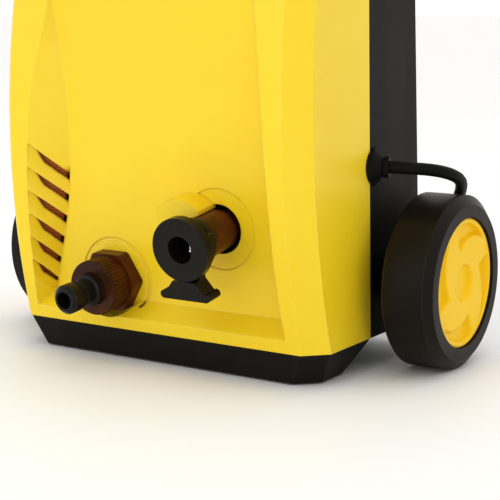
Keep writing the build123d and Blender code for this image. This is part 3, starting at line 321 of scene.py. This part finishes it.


# In each moulded entry the third colour is laid on the edges: a painted edge highlight, together with rubbing wear.
FINISH = {
    "housing_yellow": moulded(
        "yellow_shell", (0.85, 0.625, 0.026), (0.82, 0.590, 0.016), (0.96, 0.76, 0.16),
        0.34, 1500.0, 0.0012, 0.42, 0.08,
    ),
    "hub_yellow": moulded(
        "hub_yellow", (0.90, 0.590, 0.006), (0.86, 0.545, 0.004), (0.98, 0.72, 0.06),
        0.36, 1500.0, 0.0012, 0.25,
    ),
    "housing_black": moulded(
        "black_shell", (0.013, 0.012, 0.010), (0.009, 0.008, 0.007), (0.05, 0.045, 0.038),
        0.48, 1300.0, 0.0008, 0.14,
    ),
    "wheel_black": moulded(
        "wheel_plastic", (0.016, 0.010, 0.006), (0.009, 0.006, 0.004), (0.06, 0.040, 0.025),
        0.38, 1100.0, 0.0010, 0.18,
    ),
    "grip_black": moulded(
        "soft_grip", (0.015, 0.015, 0.014), (0.010, 0.010, 0.010), (0.045, 0.045, 0.045),
        0.60, 900.0, 0.001, 0.2,
    ),
    "knob_black": moulded(
        "knob_plastic", (0.018, 0.017, 0.016), (0.012, 0.012, 0.011), (0.06, 0.06, 0.06),
        0.36, 1300.0, 0.0006, 0.25,
    ),
    # Its fourth colour is a painted reflection of the yellow housing, brown deep in the recess.
    "connector_black": connector(
        "connector_plastic", (0.014, 0.012, 0.010), (0.009, 0.008, 0.006), (0.07, 0.055, 0.045), (0.115, 0.030, 0.005),
        0.30, 1500.0, 0.0005, 0.20,
    ),
    "seal_rubber": moulded(
        "rubber", (0.012, 0.012, 0.012), (0.008, 0.008, 0.008), (0.03, 0.03, 0.03),
        0.62, 800.0, 0.0003, 0.15,
    ),
    "cord_black": moulded(
        "cord_jacket", (0.008, 0.008, 0.007), (0.006, 0.006, 0.006), (0.02, 0.02, 0.02),
        0.46, 900.0, 0.0003, 0.10,
    ),
    "tie_black": moulded(
        "strap", (0.02, 0.02, 0.02), (0.012, 0.012, 0.012), (0.05, 0.05, 0.05),
        0.7, 1600.0, 0.0003, 0.2,
    ),
    "inner_plastic": moulded(
        "inner_plastic", (0.16, 0.155, 0.145), (0.11, 0.107, 0.10), (0.3, 0.3, 0.29),
        0.5, 900.0, 0.0005,
    ),
    "carbon": moulded(
        "carbon", (0.03, 0.03, 0.032), (0.018, 0.018, 0.02), (0.08, 0.08, 0.085),
        0.55, 1800.0, 0.0002,
    ),
    "tube_metal": metallic(
        "tube_metal", (0.62, 0.62, 0.63), (0.50, 0.50, 0.51),
        0.28, 500.0, (1.0, 1.0, 0.04), 0.0005,
    ),
    "steel": metallic(
        "steel", (0.60, 0.59, 0.57), (0.45, 0.43, 0.41),
        0.30, 600.0, (1.0, 1.0, 0.3), 0.0004,
    ),
    "nickel": metallic(
        "nickel", (0.78, 0.76, 0.72), (0.66, 0.64, 0.60),
        0.22, 700.0, (1.0, 1.0, 0.3), 0.0004,
    ),
    "alloy": metallic(
        "cast_alloy", (0.56, 0.57, 0.58), (0.44, 0.45, 0.46),
        0.46, 900.0, (1.0, 1.0, 1.0), 0.0008, 0.0002,
    ),
    "brass": metallic(
        "brass", (0.72, 0.54, 0.24), (0.55, 0.40, 0.17),
        0.28, 500.0, (1.0, 1.0, 0.3), 0.0004,
    ),
    "copper": wound(
        "copper_wire", (0.72, 0.33, 0.16), (0.40, 0.15, 0.06),
    ),
}


def finish_with(piece, slot_name):
    piece.data.materials.clear()
    piece.data.materials.append(FINISH[slot_name])


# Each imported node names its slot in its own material, perhaps with a number after it.
for node in NODES.values():
    finish_with(node, node.data.materials[0].name.split(".")[0])
finish_with(mains_lead, "cord_black")


# ---------------------------------------------------------------- shared mesh tools
def mesh_piece(name, work, slot_name, body, *stands_for):
    """Turns a filled bmesh into a smooth piece that rides on a body."""
    bmesh.ops.remove_doubles(work, verts=work.verts, dist=0.000001)
    bmesh.ops.recalc_face_normals(work, faces=work.faces)
    mesh = bpy.data.meshes.new(name)
    work.to_mesh(mesh)
    work.free()
    for face in mesh.polygons:
        face.use_smooth = True
    piece = in_scene(bpy.data.objects.new(name, mesh))
    finish_with(piece, slot_name)
    if stands_for:
        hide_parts(*stands_for)
    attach(piece, body)
    return piece


def skin(work, rows, closed=True):
    """Quads between rows of vertices that have the same number of points."""
    for row, after in zip(rows, rows[1:]):
        count = len(row)
        for k in range(count if closed else count - 1):
            work.faces.new((row[k], row[(k + 1) % count], after[(k + 1) % count], after[k]))


# ---------------------------------------------------------------- hub caps
HUB_RADIUS = 38.3
HUB_SEAT = 149.0
HUB_FACE = 154.6
HUB_AXIS = (41.676, 51.4)
RELIEF_DEPTH = 3.6
SWIRL_RIM = 35.6
SWIRL_START = 112.0
SWIRL_SWEEP = 76.0
SWIRL_INNER = 20.0
SWIRL_COUNT = 4
SOFTNESS = 2.2
CENTRE_RADIUS = 11.5
CENTRE_DEPTH = 0.75
SPIRAL_POWER = 1.3
SPIRAL_STEEPNESS = 0.85
RIM_STEEPNESS = 1.6
HUB_ROUNDING = 1.2
HUB_ROUNDING_STEPS = 5
HUB_SPOKES = 240
HUB_RINGS = 64


def hub_relief(radius, degrees):
    """Depth of the cap's face below its highest level."""
    depth = CENTRE_DEPTH * smooth((CENTRE_RADIUS - radius) / SOFTNESS)
    for index in range(SWIRL_COUNT):
        turned = (SWIRL_START - degrees + index * 360 / SWIRL_COUNT) % 360
        share = turned / SWIRL_SWEEP
        if share > 1:
            continue
        inner = SWIRL_INNER + (SWIRL_RIM - SWIRL_INNER) * share ** SPIRAL_POWER
        from_spiral = (radius - inner) * SPIRAL_STEEPNESS
        from_rim = (SWIRL_RIM - radius) * RIM_STEEPNESS
        from_head = math.radians(turned) * radius
        carved = smooth(from_spiral / SOFTNESS) * smooth(from_rim / SOFTNESS) * smooth(from_head / SOFTNESS)
        depth = max(depth, carved)
    return RELIEF_DEPTH * depth


def hub_cap(side):
    """A cap of rings round the axle, right for side 1 and left for side -1."""
    hand = "right" if side > 0 else "left"
    work = bmesh.new()
    rows = []

    def ring(radius, height):
        row = []
        for k in range(HUB_SPOKES):
            degrees = 360 * k / HUB_SPOKES
            angle = math.radians(degrees)
            x = height if height is not None else HUB_FACE - hub_relief(radius, degrees)
            row.append(work.verts.new((side * x * MM, (HUB_AXIS[0] + radius * math.cos(angle)) * MM,
                                       (HUB_AXIS[1] + radius * math.sin(angle)) * MM)))
        rows.append(row)

    ring(1.0, HUB_SEAT)
    ring(HUB_RADIUS, HUB_SEAT)
    for turn in range(HUB_ROUNDING_STEPS):
        angle = math.radians(90 / (HUB_ROUNDING_STEPS - 1) * turn)
        radius = HUB_RADIUS - HUB_ROUNDING * (1 - math.cos(angle))
        ring(radius, HUB_FACE - HUB_ROUNDING * (1 - math.sin(angle)))
    for step in range(1, HUB_RINGS + 1):
        ring((HUB_RADIUS - HUB_ROUNDING) * (1 - step / (HUB_RINGS + 1)), None)
    skin(work, rows)
    work.faces.new(rows[0])
    work.faces.new(rows[-1])
    cap = mesh_piece("hub_relief_" + hand, work, "housing_yellow", hand + "_wheel", "hub_cap_" + hand)
    finish_with(cap, "hub_yellow")


hub_cap(1)
hub_cap(-1)

# ---------------------------------------------------------------- sheet of painted shade behind the louvres
# Height, then the distance from the middle to the left wall of the recess at the panel and at the rim.
LEFT_WALL = [
    (40.0, 82.2, 89.7), (57.0, 78.0, 88.5), (72.0, 73.6, 87.5), (88.0, 69.5, 86.5),
    (108.0, 65.6, 85.4), (130.0, 63.5, 83.5), (136.0, 63.2, 82.9),
]
PANEL_LEAN = 20.0 / 183.0
ROW_SHIFT = 8.776
SHADE_SHEET_BEHIND = 5.0
SHADE_SHEET_THICKNESS = 0.8


SHADE_SHEET_COLUMNS = 13
SHADE_SHEET_START = 0.1
SHADE_SHEET_WIDTH = 0.85
FRONT_RADIUS = 479.0
FRONT_MOST_Y = -76.6
FRONT_MOST_Z = 145.0
PANEL_REF = (-50.0, 35.0)


def front_y(z):
    """The housing's curved front face, before the row's shift."""
    return FRONT_MOST_Y + FRONT_RADIUS - math.sqrt(FRONT_RADIUS ** 2 - (z - FRONT_MOST_Z) ** 2)


def panel_y(z):
    """The leaning front panel, before the row's shift."""
    return PANEL_REF[0] - PANEL_LEAN * (z - PANEL_REF[1])


def shade_sheet_point(place, share, behind):
    """A point behind the recess's left wall, at a share of the way from the rim to the panel."""
    z, inner, outer = place
    run = Vector((outer - inner, panel_y(z) - front_y(z), 0)).normalized()
    x = -(outer + (inner - outer) * share)
    y = front_y(z) + (panel_y(z) - front_y(z)) * share
    return Vector((x - run.y * behind, y + run.x * behind + ROW_SHIFT, z)) * MM


shade_sheet_work = bmesh.new()
shade_sheet_rows = []
for place in LEFT_WALL:
    shares = [SHADE_SHEET_START + SHADE_SHEET_WIDTH * k / (SHADE_SHEET_COLUMNS - 1) for k in range(SHADE_SHEET_COLUMNS)]
    near = [shade_sheet_work.verts.new(shade_sheet_point(place, share, SHADE_SHEET_BEHIND)) for share in shares]
    far = [
        shade_sheet_work.verts.new(shade_sheet_point(place, share, SHADE_SHEET_BEHIND + SHADE_SHEET_THICKNESS))
        for share in reversed(shares)
    ]
    shade_sheet_rows.append(near + far)
skin(shade_sheet_work, shade_sheet_rows)
shade_sheet_work.faces.new(shade_sheet_rows[0])
shade_sheet_work.faces.new(shade_sheet_rows[-1])
shade_sheet = mesh_piece("louvre_shade_sheet", shade_sheet_work, "housing_yellow", "frame")
# The sheet's dark orange-brown with a fine checker is painted shade. It stands for the shaded yellow inside, seen
# through the louvre slots.
shade_sheet_shader = Shader("louvre_painted_shade")
shade_checker = shade_sheet_shader.nodes.new("ShaderNodeTexChecker")
shade_checker.inputs["Scale"].default_value = 1400.0
shade_sheet_shader.link(shade_sheet_shader.where, shade_checker.inputs["Vector"])
shade_sheet_shader.link(shade_sheet_shader.blend(shade_checker.outputs["Fac"], (0.60, 0.16, 0.010), (0.30, 0.07, 0.005)),
                 shade_sheet_shader.surface.inputs["Base Color"])
shade_sheet_rough = shade_sheet_shader.spread(shade_sheet_shader.noise(300.0), 0.45, 0.65)
shade_sheet_shader.link(shade_sheet_rough, shade_sheet_shader.surface.inputs["Roughness"])
shade_sheet_shader.link(shade_sheet_shader.relief(shade_checker.outputs["Fac"], 0.0003), shade_sheet_shader.surface.inputs["Normal"])
shade_sheet.data.materials.clear()
shade_sheet.data.materials.append(shade_sheet_shader.material)

# ---------------------------------------------------------------- plug
PLUG_RADIUS = 18.5
PLUG_END = 84.0
# Radius and distance along the plug, from the lead's end to the face.
PLUG_PROFILE = [
    (3.9, 1.0), (4.4, 2.0), (4.6, 8.0), (5.0, 20.0), (5.6, 38.0),
    (6.2, 40.5), (9.0, 46.0), (10.6, 50.0), (12.2, 56.0), (14.6, 63.0),
    (16.6, 68.0), (17.4, 71.0), (18.3, 73.0), (18.5, 75.0), (18.5, 82.6),
    (18.1, 83.6), (17.2, 84.0), (10.0, 84.0), (2.0, 84.0),
]
PLUG_FRAME = Matrix.Translation(Vector((
    COIL_CENTRE[0] - (COIL_RADIUS + 1.5 * LEAD_DIAMETER) * math.sqrt(0.5),
    COIL_CENTRE[1] - (COIL_RADIUS + 1.5 * LEAD_DIAMETER) * math.sqrt(0.5),
    PLUG_RADIUS * math.cos(PLUG_TILT) + PLUG_END * math.sin(PLUG_TILT),
))) @ PLUG_AXIS.to_track_quat("Z", "Y").to_matrix().to_4x4()


PLUG_SPOKES = 96
PLUG_STEP = 0.8
SLIT_FROM, SLIT_TO, SLIT_PITCH, SLIT_DEPTH = 6, 38, 4, 0.9
HOLD_FROM, HOLD_TO, HOLD_DEPTH, HOLD_WAVE = 56, 80, 1.6, 0.7


def plug_cut(angle, along):
    """How far the slits of the bend protector and the finger holds go in."""
    cut = 0.0
    if SLIT_FROM < along < SLIT_TO:
        turned = math.pi if int(along / SLIT_PITCH) % 2 else 0
        slit = smooth(2.4 * math.cos(2 * angle + turned) - 0.4)
        cut += SLIT_DEPTH * slit * smooth(1.6 - abs(along % SLIT_PITCH - SLIT_PITCH / 2) * 1.4)
    if HOLD_FROM < along < HOLD_TO:
        hold = smooth((abs(math.cos(angle)) - 0.75) * 5)
        faded = smooth((along - HOLD_FROM) / 6) * smooth((HOLD_TO - along) / 5)
        cut += hold * (HOLD_DEPTH + HOLD_WAVE * math.cos(along * 2.1)) * faded
    return cut


def plug_shell():
    """The moulded plug and its bend protector, turned from the profile."""
    work = bmesh.new()
    fine = []
    for (r0, d0), (r1, d1) in zip(PLUG_PROFILE, PLUG_PROFILE[1:]):
        steps = max(1, int(abs(d1 - d0) / PLUG_STEP))
        fine += [(r0 + (r1 - r0) * k / steps, d0 + (d1 - d0) * k / steps) for k in range(steps)]
    fine.append(PLUG_PROFILE[-1])
    rows = []
    for radius, along in fine:
        row = []
        for k in range(PLUG_SPOKES):
            angle = 2 * math.pi * k / PLUG_SPOKES
            reach = radius - plug_cut(angle, along)
            point = Vector((reach * math.cos(angle), reach * math.sin(angle), along))
            row.append(work.verts.new(PLUG_FRAME @ point * MM))
        rows.append(row)
    skin(work, rows)
    work.faces.new(rows[0])
    work.faces.new(rows[-1])
    return mesh_piece("plug_shell", work, "cord_black", "frame", "plug_body")


plug = plug_shell()

# ---------------------------------------------------------------- spring pin inside the outlet
OUTLET_TILT = math.radians(-9.64)
OUTLET_X = 41.5
OUTLET_Z = 85.1
OUTLET_ORIGIN = Vector((OUTLET_X, panel_y(OUTLET_Z) + ROW_SHIFT, OUTLET_Z))
OUTLET_OUT = Vector((0, -math.cos(OUTLET_TILT), math.sin(OUTLET_TILT)))
OUTLET_UP = Vector((0, math.sin(OUTLET_TILT), math.cos(OUTLET_TILT)))
PIN_DEPTH = 30.0
PIN_ASIDE = Vector((0.8, 0, 0))
PIN_SIDES = 20
PIN_PROFILE = [
    (0.5, -7.4), (0.9, -7.1), (0.9, -4.2), (1.3, -3.8), (1.3, -2.6), (0.7, -2.2),
    (0.7, 2.2), (1.3, 2.6), (1.3, 3.8), (0.9, 4.2), (0.9, 7.1), (0.5, 7.4),
]
pin_work = bmesh.new()
pin_rows = []
for radius, height in PIN_PROFILE:
    centre = OUTLET_ORIGIN + OUTLET_OUT * PIN_DEPTH + OUTLET_UP * height + PIN_ASIDE
    row = []
    for k in range(PIN_SIDES):
        angle = math.tau * k / PIN_SIDES
        across = centre + Vector((radius * math.cos(angle), 0, 0))
        row.append(pin_work.verts.new((across + OUTLET_OUT * radius * math.sin(angle)) * MM))
    pin_rows.append(row)
skin(pin_work, pin_rows)
pin_work.faces.new(pin_rows[0])
pin_work.faces.new(pin_rows[-1])
mesh_piece("outlet_spring_pin", pin_work, "nickel", "frame")

# ---------------------------------------------------------------- floor and light
FLOOR_SIZE = 80.0
floor_mesh = bpy.data.meshes.new("floor")
floor_work = bmesh.new()
bmesh.ops.create_grid(floor_work, x_segments=1, y_segments=1, size=FLOOR_SIZE)
floor_work.to_mesh(floor_mesh)
floor_work.free()
floor = in_scene(bpy.data.objects.new("floor", floor_mesh))
floor_shader = Shader("pale_floor")
floor_shader.link(
    floor_shader.blend(floor_shader.noise(6.0), (0.915, 0.917, 0.928), (0.925, 0.927, 0.938)),
    floor_shader.surface.inputs["Base Color"],
)
floor_shader.surface.inputs["Roughness"].default_value = 0.6
floor.data.materials.append(floor_shader.material)

world = bpy.data.worlds.new("studio")
world.use_nodes = True
world.node_tree.nodes["Background"].inputs["Color"].default_value = (1.0, 0.99, 0.965, 1.0)
world.node_tree.nodes["Background"].inputs["Strength"].default_value = 0.875
SCENE.world = world


def softbox(name, place, aim, width, height, power, tint=(1.0, 1.0, 1.0)):
    data = bpy.data.lights.new(name, "AREA")
    data.shape = "RECTANGLE"
    data.size = width
    data.size_y = height
    data.energy = power
    data.color = tint
    light = in_scene(bpy.data.objects.new(name, data))
    light.location = place
    light.rotation_euler = (Vector(aim) - Vector(place)).to_track_quat("-Z", "Y").to_euler()


softbox("key", (-1.0, -1.4, 0.9), (0, 0, 0.12), 1.2, 1.2, 2.6)
softbox("low", (0.5, -1.7, 0.16), (0, 0, 0.05), 1.8, 0.3, 3.2)
softbox("top", (0.2, 0.1, 2.2), (0, 0, 0.1), 1.8, 1.8, 4.0)

SCENE.view_settings.view_transform = "Standard"
SCENE.view_settings.look = "Medium High Contrast"
